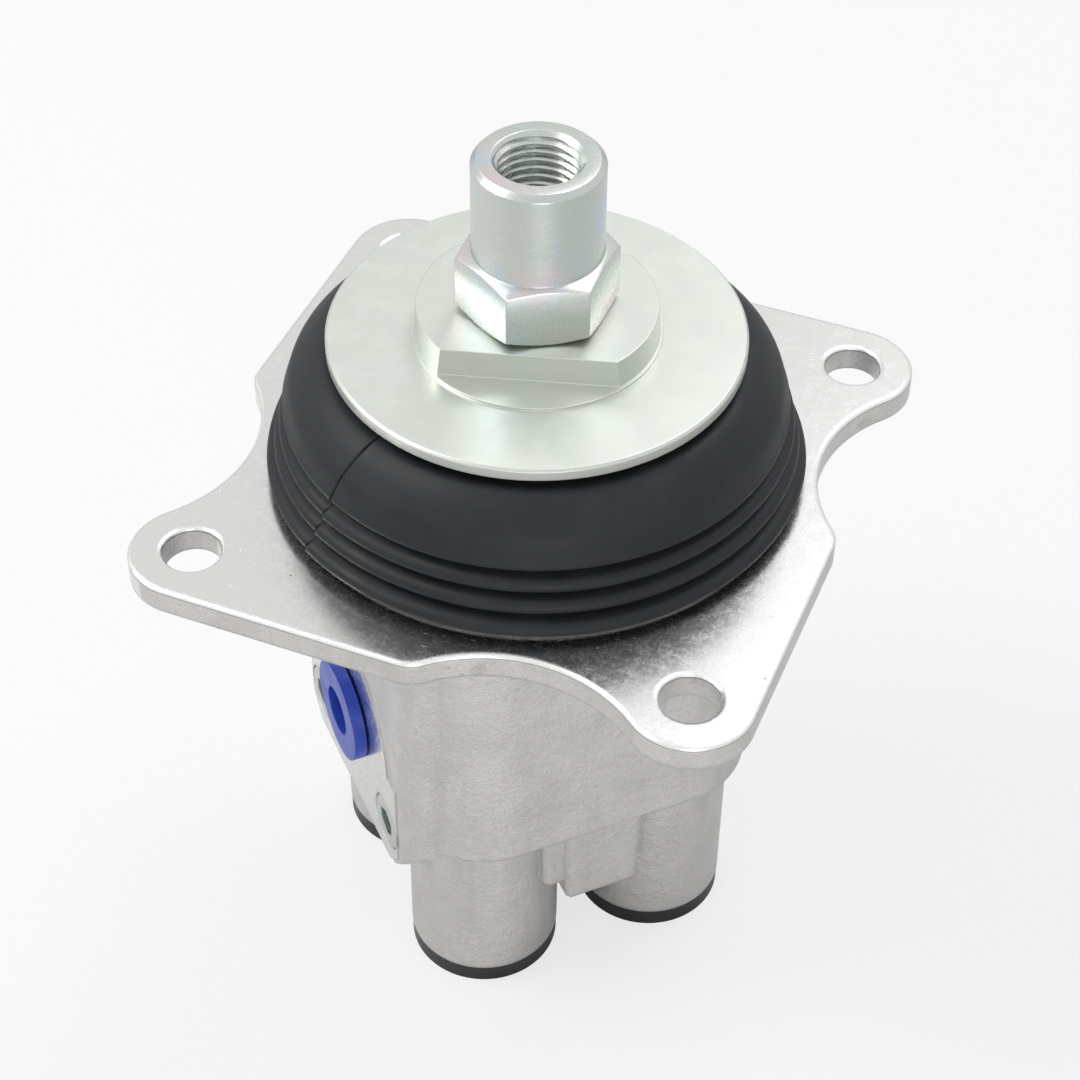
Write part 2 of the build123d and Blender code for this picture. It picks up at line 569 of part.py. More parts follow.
def build() -> dict[str, Part]:
    """Make every node of the valve by name."""
    floor = -CHAMBER_DEPTH + SHIM_T
    nodes = {
        "valve_body": valve_body(),
        "retainer_plate": retainer_plate(),
        "joint_base": joint_base(),
        "joint_cross": joint_cross(),
        "joint_stud": joint_stud(),
        "press_disc": disc(),
        "lever_nut": lever_nut(),
        "boot": boot(),
        "guide_orings": grouped(guide_oring()),
        "piston_seals": grouped(piston_seal()),
        "spring_shims": grouped(shim()),
        "inlet_plug": port_plug(INLET_ANGLE, INLET_DEPTH),
        "return_plug": port_plug(RETURN_ANGLE, RETURN_DEPTH),
        "inlet_strainer": inlet_strainer(),
        "gallery_plug_left": gallery_plug(-GALLERY_OFFSET),
        "gallery_plug_right": gallery_plug(GALLERY_OFFSET),
        "stoppers": stoppers(),
    }
    nodes |= per_station("piston_guide", piston_guide())
    nodes |= per_station("piston", piston())
    nodes |= per_station("spring_seat", spring_seat())
    nodes |= per_station("centring_spring", coil_spring(
        CENTRING_D, CENTRING_WIRE, CENTRING_TURNS, floor, SEAT_Z))
    nodes |= per_station("metering_spring", coil_spring(
        METERING_D, METERING_WIRE, METERING_TURNS, -SPOOL_COLLAR_DEPTH, SEAT_Z))
    nodes |= per_station("spool", spool())
    nodes |= per_station("port_cap", shipping_cap())
    return nodes


os.makedirs("parts", exist_ok=True)
for node, shape in build().items():
    shape.label = node
    export_step(shape, f"parts/{node}.step")
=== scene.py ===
"""Dress the hydraulic pilot joystick valve: finishes, rubber boot, threaded nut and a plain studio."""

import logging
import math
from dataclasses import dataclass, field
from enum import Enum
from typing import Any, Iterable, Mapping, Optional, Sequence, Union

import bmesh
import bpy
from mathutils import Matrix, Vector


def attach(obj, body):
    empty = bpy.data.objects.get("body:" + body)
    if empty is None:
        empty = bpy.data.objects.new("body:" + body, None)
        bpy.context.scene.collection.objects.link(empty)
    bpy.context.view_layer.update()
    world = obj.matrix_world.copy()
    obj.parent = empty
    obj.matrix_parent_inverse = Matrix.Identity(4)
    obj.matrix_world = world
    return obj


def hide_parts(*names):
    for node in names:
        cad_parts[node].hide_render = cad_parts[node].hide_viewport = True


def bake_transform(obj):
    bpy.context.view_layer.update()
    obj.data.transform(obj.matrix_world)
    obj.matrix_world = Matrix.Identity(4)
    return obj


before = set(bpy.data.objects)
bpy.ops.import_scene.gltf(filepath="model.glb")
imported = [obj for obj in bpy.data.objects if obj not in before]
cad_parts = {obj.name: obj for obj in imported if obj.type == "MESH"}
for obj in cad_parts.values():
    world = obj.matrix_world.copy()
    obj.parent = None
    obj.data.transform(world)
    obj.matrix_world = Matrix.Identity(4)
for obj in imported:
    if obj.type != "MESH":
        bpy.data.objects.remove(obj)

log = logging.getLogger("pilot_valve")

MM = 0.001
PISTON_TRAVEL = 8.45    # mm, at full tilt
SPOOL_TRAVEL = 2.6      # mm, at full tilt
Colour = tuple[float, float, float]
Outline = list[tuple[float, float]]


# ---------------------------------------------------------------- shader sheets


class Value:
    """A number in a node tree that can be used in a Python expression."""

    def __init__(self, sheet: "Sheet", socket: bpy.types.NodeSocket) -> None:
        """Wrap a socket.

        Args:
            sheet: The sheet whose tree holds the socket.
            socket: The output socket that carries the number.
        """
        self.sheet = sheet
        self.socket = socket

    def _maths(self, operation: str, *operands: "Operand") -> "Value":
        """Add one Math node.

        Args:
            operation: The node's operation, such as ADD.
            operands: Its inputs in order.

        Returns:
            The node's result.
        """
        made = self.sheet.node("ShaderNodeMath", {"operation": operation}, dict(enumerate(operands)))
        return Value(self.sheet, made.outputs[0])

    def __add__(self, other: "Operand") -> "Value":
        """Add."""
        return self._maths("ADD", self, other)

    def __radd__(self, other: "Operand") -> "Value":
        """Add, reflected."""
        return self._maths("ADD", other, self)

    def __sub__(self, other: "Operand") -> "Value":
        """Subtract."""
        return self._maths("SUBTRACT", self, other)

    def __rsub__(self, other: "Operand") -> "Value":
        """Subtract, reflected."""
        return self._maths("SUBTRACT", other, self)

    def __mul__(self, other: "Operand") -> "Value":
        """Multiply."""
        return self._maths("MULTIPLY", self, other)

    def __rmul__(self, other: "Operand") -> "Value":
        """Multiply, reflected."""
        return self._maths("MULTIPLY", other, self)

    def __abs__(self) -> "Value":
        """Drop the sign."""
        return self._maths("ABSOLUTE", self)

    def __gt__(self, other: "Operand") -> "Value":
        """Give 1 where this is the greater."""
        return self._maths("GREATER_THAN", self, other)

    def __lt__(self, other: "Operand") -> "Value":
        """Give 1 where this is the smaller."""
        return self._maths("LESS_THAN", self, other)

    def sine(self) -> "Value":
        """Give the sine of this angle in radians."""
        return self._maths("SINE", self)

    def ramp(self, low: float, high: float) -> "Value":
        """Map a range smoothly to 0 to 1, and hold the ends.

        Args:
            low: Where the result is 0.
            high: Where the result is 1.

        Returns:
            The mapped number.
        """
        made = self.sheet.node(
            "ShaderNodeMapRange", {"interpolation_type": "SMOOTHSTEP", "clamp": True},
            {"Value": self, "From Min": low, "From Max": high, "To Min": 0.0, "To Max": 1.0})
        return Value(self.sheet, made.outputs["Result"])


Operand = Union[Value, float]
Input = Union[Value, float, bpy.types.NodeSocket, Sequence[float]]


class Sheet:
    """One material: its node tree, the place on the object in millimetres, and its shader."""

    def __init__(self, name: str) -> None:
        """Start a material with one Principled shader.

        Args:
            name: The material's name.
        """
        self.material = bpy.data.materials.new(name)
        self.material.use_nodes = True
        self.tree = self.material.node_tree
        self.tree.nodes.clear()
        self.shader = self.node("ShaderNodeBsdfPrincipled")
        self.output = self.node("ShaderNodeOutputMaterial", sockets={"Surface": self.shader.outputs[0]})
        coordinates = self.node("ShaderNodeTexCoord")
        scaled = self.node("ShaderNodeVectorMath", {"operation": "SCALE"},
                           {0: coordinates.outputs["Object"], "Scale": 1 / MM})
        self.place = scaled.outputs[0]
        self.facing = coordinates.outputs["Normal"]

    def node(self, kind: str, settings: Optional[Mapping[str, Any]] = None,
             sockets: Optional[Mapping[Union[str, int], Input]] = None) -> bpy.types.Node:
        """Add any node.

        Args:
            kind: The node's type.
            settings: Its properties, set first.
            sockets: Values or links for its inputs, by name or number.

        Returns:
            The node.
        """
        made = self.tree.nodes.new(kind)
        for key, value in (settings or {}).items():
            setattr(made, key, value)
        for key, value in (sockets or {}).items():
            self.feed(made.inputs[key], value)
        return made

    def feed(self, socket: bpy.types.NodeSocket, value: Input) -> None:
        """Link a value to a socket, or set it there.

        Args:
            socket: The input socket.
            value: A Value, a socket, a number, a colour or a vector.
        """
        if isinstance(value, Value):
            self.tree.links.new(value.socket, socket)
        elif isinstance(value, bpy.types.NodeSocket):
            self.tree.links.new(value, socket)
        elif isinstance(value, (int, float)):
            socket.default_value = value
        else:
            numbers = tuple(value)
            socket.default_value = (*numbers, 1.0) if socket.type == "RGBA" and len(numbers) == 3 else numbers

    def set(self, **sockets: Input) -> None:
        """Feed the shader's sockets, named with underscores for spaces."""
        for key, value in sockets.items():
            self.feed(self.shader.inputs[key.replace("_", " ")], value)

    def parts(self, vector: bpy.types.NodeSocket) -> tuple[Value, Value, Value]:
        """Split a vector into its three numbers."""
        made = self.node("ShaderNodeSeparateXYZ", sockets={0: vector})
        return tuple(Value(self, out) for out in made.outputs)

    def stretched(self, scale: Sequence[float]) -> bpy.types.NodeSocket:
        """Give the place in millimetres, scaled along each axis."""
        scaled = self.node("ShaderNodeVectorMath", {"operation": "MULTIPLY"}, {0: self.place, 1: scale})
        return scaled.outputs[0]

    def noise(self, size: float, detail: float = 2.0, roughness: float = 0.5,
              at: Optional[bpy.types.NodeSocket] = None) -> Value:
        """Add noise.

        Args:
            size: The size of its largest features in mm.
            detail: How many finer layers it has.
            roughness: How strong those layers are.
            at: Where to read it; the place in mm when left out.

        Returns:
            The noise, about 0.5 on average.
        """
        made = self.node("ShaderNodeTexNoise", {"noise_dimensions": "3D"}, {
            "Vector": at or self.place, "Scale": 1 / size, "Detail": detail, "Roughness": roughness,
            "Lacunarity": 2.0})
        return Value(self, made.outputs[0])

    def cells(self, size: float, at: Optional[bpy.types.NodeSocket] = None) -> tuple[Value, Value]:
        """Add scattered cells.

        Args:
            size: The cells' size in mm.
            at: Where to read them; the place in mm when left out.

        Returns:
            The distance from the nearest centre in cell sizes, and a random number for the cell.
        """
        made = self.node("ShaderNodeTexVoronoi", {"feature": "F1"}, {
            "Vector": at or self.place, "Scale": 1 / size, "Randomness": 1.0})
        return Value(self, made.outputs["Distance"]), self.parts(made.outputs["Color"])[0]

    def mix(self, share: Operand, first: Input, second: Input) -> bpy.types.NodeSocket:
        """Mix two colours.

        Args:
            share: How much of the second colour shows.
            first: The colour at 0.
            second: The colour at 1.

        Returns:
            The mixed colour.
        """
        made = self.node("ShaderNodeMix", {"data_type": "RGBA", "blend_type": "MIX"})
        for number, value in ((0, share), (6, first), (7, second)):
            self.feed(made.inputs[number], value)
        return made.outputs[2]

    def scratches(self, size: float, turn: float, width: float, share: float) -> Value:
        """Draw short fine scratches in one direction.

        Args:
            size: The scratches' length in mm.
            turn: Their direction about the vertical in degrees.
            width: Their width as a share of their length.
            share: How much of the surface may carry them, from 0 to 1.

        Returns:
            1 on a scratch, 0 beside it.
        """
        turned = self.node("ShaderNodeMapping", {"vector_type": "POINT"}, {
            "Vector": self.place, "Rotation": (0.0, 0.0, math.radians(turn)),
            "Scale": (1.0, 1 / width, 1 / width)})
        distance, lot = self.cells(size, turned.outputs[0])
        return (1 - distance.ramp(0.02, 0.09)) * (lot < share)

    def relief(self, height: Value, depth: float, rounding: float = 0.0) -> None:
        """Bump the surface.

        Args:
            height: The relief, in units of depth.
            depth: The relief's depth in mm.
            rounding: Radius in mm to which sharp edges look rounded, or 0.
        """
        made = self.node("ShaderNodeBump", sockets={
            "Height": height, "Distance": depth * MM, "Strength": 1.0})
        if rounding:
            bevel = self.node("ShaderNodeBevel", {"samples": 6}, {"Radius": rounding * MM})
            self.feed(made.inputs["Normal"], bevel.outputs[0])
        self.set(Normal=made.outputs[0])


# ---------------------------------------------------------------- finishes


@dataclass(frozen=True)
class CastAluminium:
    """A shot-blasted die casting with machined faces.

    Args:
        cast: Colour as cast and blasted.
        machined: Colour of machined faces.
        grain: Size of the blasted grain in mm.
        pads: Machined pads as (angle in degrees, distance of the face from the axis in mm).
        flange: Thickness of the flange in mm.
        rounding: Radius in mm to which cast edges look rounded.
        line: Depth in mm of the painted shade, a dark band on the flange's side just under its top edge,
            below the painted edge highlight.
    """

    cast: Colour = (0.70, 0.695, 0.685)
    machined: Colour = (0.80, 0.80, 0.79)
    grain: float = 0.5
    pads: tuple[tuple[float, float], ...] = ()
    flange: float = 4.6
    rounding: float = 0.9
    line: float = 0.72

    def dress(self) -> bpy.types.Material:
        """Make the material."""
        sheet = Sheet("cast_aluminium")
        x, y, z = sheet.parts(sheet.place)
        nx, ny, nz = sheet.parts(sheet.facing)
        top = (nz > 0.95) * (z > -0.05)
        machined = top
        for angle, face in self.pads:
            across, along = math.cos(math.radians(angle)), math.sin(math.radians(angle))
            machined = machined + (nx * across + ny * along > 0.95) * (x * across + y * along > face - 0.05)
        # Chamfer faces near the flange's top, picked by their slope: smoother for their polish, and painted
        # pale as a painted highlight.
        edge = (nz > 0.3) * (nz < 0.9) * (z > -1.0)
        rim = (abs(nz) < 0.3) * (z > -self.flange - 0.01)

        grain = sheet.noise(self.grain, 3.0, 0.7)
        patches = sheet.noise(9.0, 3.0, 0.55)
        streaks = sheet.noise(5.0, 3.0, 0.6, at=sheet.stretched((1.0, 1.0, 0.2)))
        mottle = sheet.noise(0.8, 2.0, 0.7) * 0.6 + sheet.noise(2.6, 2.0, 0.5) * 0.4
        nicks = sheet.scratches(9.0, 20.0, 0.035, 0.3) + sheet.scratches(7.0, 110.0, 0.03, 0.25)
        nicks = nicks + sheet.scratches(5.0, 65.0, 0.04, 0.2)
        dents, lot = sheet.cells(3.2)
        dents = (1 - dents.ramp(0.03, 0.11)) * (lot < 0.16)
        spots, lot = sheet.cells(1.7)
        spots = (1 - spots.ramp(0.05, 0.2)) * (lot < 0.12)
        stain = spots * (rim * 0.8 + (1 - machined) * 0.25)
        stain = stain + sheet.noise(11.0, 4.0, 0.7).ramp(0.6, 0.75) * rim * 0.5

        rough = sheet.mix(patches.ramp(0.3, 0.7), self.cast, tuple(c * 0.9 for c in self.cast))
        rough = sheet.mix(streaks.ramp(0.45, 0.7) * 0.5, rough, tuple(c * 0.82 for c in self.cast))
        scraped = nicks * 0.4 + grain.ramp(0.52, 0.7) * 0.4
        rough = sheet.mix(scraped, rough, tuple(c * 0.62 for c in self.cast))
        smooth = sheet.mix(mottle.ramp(0.35, 0.65), self.machined, tuple(c * 0.92 for c in self.machined))
        smooth = sheet.mix(nicks * 0.3 + dents * 0.5, smooth, (0.5, 0.5, 0.5))
        colour = sheet.mix(machined, rough, smooth)
        # Painted highlight: the chamfer faces are painted near white, brighter than their polish alone, as
        # the bright line that light draws along the edge.
        colour = sheet.mix(edge, colour, (0.9, 0.9, 0.89))
        # Painted shade: a dark grey band along the top of the flange's side, just under the painted edge
        # highlight.
        colour = sheet.mix(rim * (z > -self.line) * 0.7, colour, (0.25, 0.25, 0.25))
        colour = sheet.mix(stain * 0.6, colour, (0.2, 0.15, 0.1))

        satin = 0.2 + mottle.ramp(0.35, 0.7) * 0.1 + nicks * 0.1
        blasted = 0.44 + patches.ramp(0.35, 0.65) * 0.06
        roughness = machined * satin + (1 - machined) * blasted - edge * 0.2
        sheet.set(Base_Color=colour, Metallic=1.0, Roughness=roughness)
        pitted = sheet.noise(1.3, 3.0, 0.6)
        height = (grain + pitted + patches * 2.0) * (1 - machined) * (1 - edge) + mottle * 0.05 * machined
        height = height - nicks * 0.12 - dents * 0.3
        sheet.relief(height, 0.16, self.rounding)
        return sheet.material


@dataclass(frozen=True)
class ZincPlate:
    """Bright zinc with a pale passivation that tints unevenly.

    Args:
        name: The material's name.
        colour: The plating's colour.
        rosy: Colour of the pink clouds.
        blue: Colour of the blue clouds.
        tint: How strong the clouds are, from 0 to 1.
        lay: Scale of the turning marks along each axis, as features per mm.
        roughness: Mean roughness.
    """

    name: str
    colour: Colour = (0.60, 0.645, 0.60)
    rosy: Colour = (0.80, 0.60, 0.68)
    blue: Colour = (0.56, 0.64, 0.72)
    tint: float = 0.35
    lay: Colour = (0.15, 0.15, 3.0)
    roughness: float = 0.24

    def dress(self) -> bpy.types.Material:
        """Make the material."""
        sheet = Sheet(self.name)
        clouds = sheet.noise(13.0, 2.0, 0.5)
        second = sheet.noise(9.0, 2.0, 0.5, at=sheet.stretched((1.0, 1.0, 0.45)))
        haze = sheet.noise(1.1, 3.0, 0.6)
        lay = sheet.noise(1.0, 3.0, 0.6, at=sheet.stretched(self.lay))
        specks, lot = sheet.cells(4.0)
        specks = (1 - specks.ramp(0.02, 0.06)) * (lot < 0.06)
        colour = sheet.mix(haze.ramp(0.3, 0.7) * 0.25, self.colour, tuple(c * 0.94 for c in self.colour))
        colour = sheet.mix(clouds.ramp(0.52, 0.68) * self.tint, colour, self.rosy)
        colour = sheet.mix(second.ramp(0.5, 0.66) * self.tint, colour, self.blue)
        colour = sheet.mix(specks * 0.6, colour, (0.2, 0.19, 0.16))
        rough = self.roughness + haze.ramp(0.3, 0.7) * 0.05 + lay.ramp(0.4, 0.7) * 0.05
        sheet.set(Base_Color=colour, Metallic=1.0, Roughness=rough)
        sheet.relief(lay + haze * 0.3 - specks, 0.009, 0.25)
        return sheet.material


@dataclass(frozen=True)
class MouldedRubber:
    """Matt black rubber with a dusty bloom and a few specks.

    Args:
        name: The material's name.
        colour: The rubber's colour.
        bloom: Colour of the dusty bloom.
        dust: How many specks it carries, from 0 to 1.
    """

    name: str
    colour: Colour = (0.013, 0.014, 0.0165)
    bloom: Colour = (0.026, 0.029, 0.034)
    dust: float = 0.1

    def dress(self) -> bpy.types.Material:
        """Make the material."""
        sheet = Sheet(self.name)
        cloud = sheet.noise(8.0, 4.0, 0.6)
        fine = sheet.noise(0.35, 2.0, 0.6)
        specks, lot = sheet.cells(3.0)
        specks = (1 - specks.ramp(0.015, 0.05)) * (lot < self.dust)
        colour = sheet.mix(cloud.ramp(0.42, 0.72) * 0.6, self.colour, self.bloom)
        colour = sheet.mix(specks * 0.8, colour, (0.35, 0.33, 0.3))
        sheet.set(Base_Color=colour, Roughness=0.5 + cloud.ramp(0.35, 0.7) * 0.12, Specular_IOR_Level=0.36)
        sheet.relief(fine * 0.5 + cloud * 0.8, 0.03)
        return sheet.material


@dataclass(frozen=True)
class MouldedPlastic:
    """A moulded plastic plug or cap.

    Args:
        name: The material's name.
        colour: The plastic's colour.
        pale: Colour where it is scuffed or thin.
        roughness: Mean roughness.
        glow: Share of light that passes under the surface.
    """

    name: str
    colour: Colour
    pale: Colour
    roughness: float = 0.35
    glow: float = 0.0

    def dress(self) -> bpy.types.Material:
        """Make the material."""
        sheet = Sheet(self.name)
        cloud = sheet.noise(5.0, 3.0, 0.6)
        fine = sheet.noise(0.3, 2.0, 0.5)
        scuffs = sheet.scratches(4.0, 35.0, 0.05, 0.3)
        colour = sheet.mix(cloud.ramp(0.4, 0.75) * 0.5 + scuffs * 0.4, self.colour, self.pale)
        sheet.set(Base_Color=colour, Roughness=self.roughness + cloud.ramp(0.35, 0.7) * 0.12,
                  Subsurface_Weight=self.glow, Subsurface_Scale=0.8 * MM, Subsurface_Radius=(0.3, 0.5, 1.0))
        sheet.relief(fine + scuffs * -0.5, 0.02, 0.2)
        return sheet.material


@dataclass(frozen=True)
class BareSteel:
    """Oiled steel with a machined lay, for the pieces inside.

    Args:
        name: The material's name.
        colour: The metal's colour.
        dark: Colour in its oil film and scale.
        lay: Scale of the machining marks along each axis, as features per mm.
        roughness: Mean roughness.
    """

    name: str
    colour: Colour = (0.5, 0.505, 0.515)
    dark: Colour = (0.3, 0.3, 0.31)
    lay: Colour = (0.3, 0.3, 6.0)
    roughness: float = 0.25

    def dress(self) -> bpy.types.Material:
        """Make the material."""
        sheet = Sheet(self.name)
        lay = sheet.noise(1.0, 3.0, 0.6, at=sheet.stretched(self.lay))
        film = sheet.noise(4.0, 4.0, 0.6)
        colour = sheet.mix(film.ramp(0.4, 0.7) * 0.7 + lay.ramp(0.5, 0.8) * 0.3, self.colour, self.dark)
        sheet.set(Base_Color=colour, Metallic=1.0, Roughness=self.roughness + film.ramp(0.35, 0.7) * 0.15)
        sheet.relief(lay, 0.01, 0.15)
        return sheet.material


@dataclass(frozen=True)
class WovenBrass:
    """A fine brass mesh rolled into the strainer.

    Args:
        colour: The wire's colour.
        pitch: Distance between wires in mm.
    """

    colour: Colour = (0.62, 0.46, 0.2)
    pitch: float = 0.5

    def dress(self) -> bpy.types.Material:
        """Make the material."""
        sheet = Sheet("woven_brass")
        x, y, z = sheet.parts(sheet.place)
        turn = 2 * math.pi / self.pitch
        weave = ((z * turn).sine() * ((x - y) * turn).sine()).ramp(-0.4, 0.4)
        film = sheet.noise(3.0, 3.0, 0.6)
        # Painted shade: the colour darkens where the relief is lowest, in the gaps between the wires.
        colour = sheet.mix(weave * 0.7, self.colour, tuple(c * 0.35 for c in self.colour))
        sheet.set(Base_Color=colour, Metallic=1.0, Roughness=0.3 + film.ramp(0.3, 0.7) * 0.15)
        sheet.relief(1 - weave, 0.1)
        return sheet.material


# ---------------------------------------------------------------- meshes


class Closure(Enum):
    """How the first and last rows of a turned surface end."""

    LOOP = "loop"
    OPEN = "open"


def new_piece(name: str, points: Sequence[Vector], faces: Sequence[Sequence[int]],
              material: bpy.types.Material, smooth: float = 40.0) -> bpy.types.Object:
    """Make a mesh object from points and faces.

    Args:
        name: The piece's name.
        points: Its points in metres.
        faces: Its faces, as numbers of points.
        material: Its finish.
        smooth: Edges sharper than this many degrees stay sharp.

    Returns:
        The object, with its faces turned outwards.
    """
    mesh = bpy.data.meshes.new(name)
    mesh.from_pydata([tuple(point) for point in points], [], [tuple(face) for face in faces])
    shape = bmesh.new()
    shape.from_mesh(mesh)
    bmesh.ops.remove_doubles(shape, verts=shape.verts, dist=1e-7)
    bmesh.ops.recalc_face_normals(shape, faces=shape.faces)
    for face in shape.faces:
        face.smooth = True
    for edge in shape.edges:
        edge.smooth = len(edge.link_faces) == 2 and edge.calc_face_angle(0.0) < math.radians(smooth)
    shape.to_mesh(mesh)
    shape.free()
    mesh.materials.append(material)
    piece = bpy.data.objects.new(name, mesh)
    bpy.context.scene.collection.objects.link(piece)
    return piece


def grid_faces(rows: int, columns: int, closure: Closure) -> list[tuple[int, int, int, int]]:
    """List the faces of a grid of points that closes round its columns.

    Args:
        rows: Number of rows.
        columns: Number of columns.
        closure: Whether the last row joins the first.

    Returns:
        The faces.
    """
    last = rows if closure is Closure.LOOP else rows - 1
    faces = []
    for row in range(last):
        low, high = row * columns, (row + 1) % rows * columns
        for column in range(columns):
            beside = (column + 1) % columns
            faces.append((low + column, low + beside, high + beside, high + column))
    return faces


def curve_through(points: Outline, steps: int) -> Outline:
    """Run a smooth curve through an outline's points.

    Args:
        points: The outline's points.
        steps: Number of steps between two points.

    Returns:
        The denser outline.
    """
    padded = [points[0], *points, points[-1]]
    curve: Outline = []
    for before, start, end, after in zip(padded, padded[1:], padded[2:], padded[3:]):
        for step in range(steps):
            t = step / steps
            curve.append(tuple(
                0.5 * (2 * s + (e - b) * t + (2 * b - 5 * s + 4 * e - a) * t * t
                       + (3 * s - 3 * e + a - b) * t ** 3)
                for b, s, e, a in zip(before, start, end, after)))
    return [*curve, points[-1]]


def smooth_share(value: float, low: float, high: float) -> float:
    """Give a smooth 0 to 1 as value goes from low to high."""
    t = min(max((value - low) / (high - low), 0.0), 1.0)
    return t * t * (3 - 2 * t)


# ---------------------------------------------------------------- sub-assemblies


@dataclass
class Boot:
    """The rubber boot, in a folded lower half and a smooth upper half that meet on one ring.

    Args:
        rubber: The boot's finish.
        wall: Wall thickness in mm; not used.
        still: Height in mm up to which the lowest fold would keep its shape when the lever tilts; not used.
        meet: Height in mm of the ring where the halves meet.
        folds: Lip radius and height in mm of each fold, from the lowest.
        fold_depth: Radial depth of a fold in mm.
        fold_height: Height of a fold in mm.
        band: Outline of the smooth band from its lower edge to its top lip, in mm.
        bead: Radius and height in mm at which the outside starts.
        rim: Height in mm of the band's top, where the mould line's angle is given.
        slit: Angle of the mould line in degrees at the rim, and its slope in degrees per mm.
        folds_top: Height in mm where the folds end and the band begins.
        line_width: Width in degrees of the mould line's groove.
        line_depths: Depth in mm of that groove in the folds and in the band.
        line_step: Radial step in mm across the mould line in the folds.
        step_fade: Angle in degrees over which that step fades.
        columns: Number of columns round the boot.
    """

    rubber: bpy.types.Material
    wall: float = 1.3
    still: float = 5.5
    meet: float = 17.8
    folds: tuple[tuple[float, float], ...] = ((44.9, 2.75), (43.5, 6.45), (42.5, 10.1))
    fold_depth: float = 3.4
    fold_height: float = 3.15
    band: tuple[tuple[float, float], ...] = (
        (39.4, 12.2), (40.9, 12.7), (41.6, 13.6), (41.25, 14.9), (40.35, 17.8), (39.1, 19.6),
        (37.2, 21.6), (35.3, 22.9), (33.9, 23.3), (31.5, 23.2), (28.6, 22.9), (27.9, 22.7))
    bead: tuple[float, float] = (41.6, 0.35)
    rim: float = 23.3
    slit: tuple[float, float] = (244.5, 0.36)
    folds_top: float = 12.3
    line_width: float = 0.22
    line_depths: tuple[float, float] = (0.55, 0.4)
    line_step: float = 0.22
    step_fade: float = 9.0
    columns: int = 300

    def outer(self) -> Outline:
        """Give the outside's outline from the bead to the top lip."""
        fold_steps, fold_turn, fold_flatness = 8, 160, 0.7
        seam_half = 0.05
        outline: Outline = [self.bead]
        for radius, height in self.folds:
            inner = radius - self.fold_depth
            for step in range(fold_steps + 1):
                turn = math.radians(-fold_turn / 2 + fold_turn * step / fold_steps)
                reach = math.cos(turn) ** fold_flatness
                rise = self.fold_height / 2 * math.sin(turn)
                outline.append((inner + self.fold_depth * reach, height + rise))
        outline += curve_through(list(self.band), 4)
        cut = self.meeting_row(outline)
        before, point, after = (Vector(outline[row]) for row in (cut - 1, cut, cut + 1))
        beside = (after - before).normalized() * seam_half
        outline[cut:cut + 1] = [tuple(point - beside), tuple(point), tuple(point + beside)]
        return outline

    def meeting_row(self, outline: Outline) -> int:
        """Give the row of the outside's outline that lies on the ring where the halves meet."""
        return min(range(len(outline)), key=lambda row: abs(outline[row][1] - self.meet))

    def inner(self) -> Outline:
        """Give the inside's outline from the top lip back to the bead."""
        return [
            (27.9, 22.35), (31.4, 22.0), (33.6, 21.95), (35.6, 20.9), (37.6, 18.9), (39.15, self.meet),
            (39.9, 14.6), (38.6, 12.6), (38.3, 10.1), (39.2, 7.0), (40.35, 5.0), (40.35, 2.2), (37.9, 2.0),
            (37.9, 0.35)]

    def seam_angle(self, height: float) -> float:
        """Give the mould line's angle in degrees at a height in mm."""
        return self.slit[0] - self.slit[1] * (self.rim - height)

    def angles(self) -> list[float]:
        """Give the columns' angles about the mould line in degrees, crowded beside it."""
        near = [0.0, 0.16, 0.32, 0.6, 1.0]
        around = [*(-a for a in reversed(near[1:])), *near]
        spread = self.columns - len(around)
        step = (360 - 2 * near[-1]) / (spread + 1)
        return around + [near[-1] + step * (count + 1) for count in range(spread)]

    def point(self, radius: float, height: float, turn: float, outside: bool) -> Vector:
        """Place one point of the boot.

        Args:
            radius: Its distance from the axis in mm.
            height: Its height in mm.
            turn: Its angle from the mould line in degrees.
            outside: Whether it lies on the outside, which carries the mould line.

        Returns:
            The point in metres.
        """
        off = (turn + 180) % 360 - 180
        if outside:
            fold_line, band_line = self.line_depths
            groove = math.exp(-(off / self.line_width) ** 2)
            step = math.copysign(1.0, off) * math.exp(-abs(off) / self.step_fade) if off else 0.0
            lumps = math.sin(math.radians(turn * 3 + 40)) * 0.10
            lumps += math.sin(math.radians(turn * 5 + 110)) * 0.06
            if height < self.folds_top:
                radius += -fold_line * groove + self.line_step * step + lumps
                height += 0.12 * math.sin(math.radians(turn * 4)) * smooth_share(height, 0.5, 3.0)
            else:
                radius -= band_line * groove
                height -= 0.25 * groove * smooth_share(height, 21.0, 23.0)
        lean = self.seam_angle(height) - self.seam_angle(0.0)
        angle = math.radians(self.seam_angle(0.0) + turn + lean * math.exp(-(off / 30) ** 2))
        return Vector((radius * math.cos(angle), radius * math.sin(angle), height)) * MM

    def half(self, name: str, outer: Outline, inner: Outline) -> bpy.types.Object:
        """Make one half as a closed shell.

        Args:
            name: The piece's name.
            outer: Outside outline, going up.
            inner: Inside outline, going down.

        Returns:
            The piece.
        """
        turns = self.angles()
        rows = [(point, True) for point in outer] + [(point, False) for point in inner]
        points = [self.point(*point, turn, outside) for point, outside in rows for turn in turns]
        return new_piece(name, points, grid_faces(len(rows), len(turns), Closure.LOOP), self.rubber, 75.0)

    def build(self) -> list[bpy.types.Object]:
        """Make both halves and hide the plain solid.

        Returns:
            The pieces.
        """
        outer, inner = self.outer(), self.inner()
        cut = self.meeting_row(outer)
        turn_back = next(i for i, point in enumerate(inner) if point[1] <= self.meet + 1e-6)
        lower = self.half("boot_folds", outer[:cut + 1], inner[turn_back:])
        upper = self.half("boot_band", outer[cut:], inner[:turn_back + 1])
        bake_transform(lower)
        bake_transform(upper)
        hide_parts("boot")
        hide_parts("boot")
        return [lower, upper]


